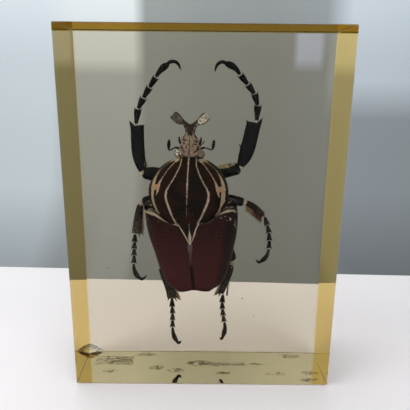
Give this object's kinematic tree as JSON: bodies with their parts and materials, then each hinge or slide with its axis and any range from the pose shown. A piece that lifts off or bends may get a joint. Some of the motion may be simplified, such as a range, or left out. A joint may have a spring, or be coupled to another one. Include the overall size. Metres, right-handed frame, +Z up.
{
  "type": "insect in resin block",
  "caption": "Upright clear resin block that stands on its lower face and holds one large mounted beetle for display.",
  "frame": {"origin": "centre of the lower face that the block stands on", "axes": "+Z up along the block's height, +Y through its thickness from the front face to the back face, +X across its width to the right as seen from the front"},
  "size_m": [0.13, 0.0516, 0.176],
  "materials": {
    "resin": "polished clear resin, yellowed with age at its rims",
    "black_cuticle": "glossy black chitin",
    "velvet_cuticle": "dark maroon velvet bloom on the wing cases",
    "cream_scales": "cream to tan matte scales",
    "hair": "short tan to red-brown hair fringes",
    "scuff_residue": "dull rubbed marks and old glue"
  },
  "bodies": {
    "root": {"resin_block": "resin"}
  },
  "joints": []
}
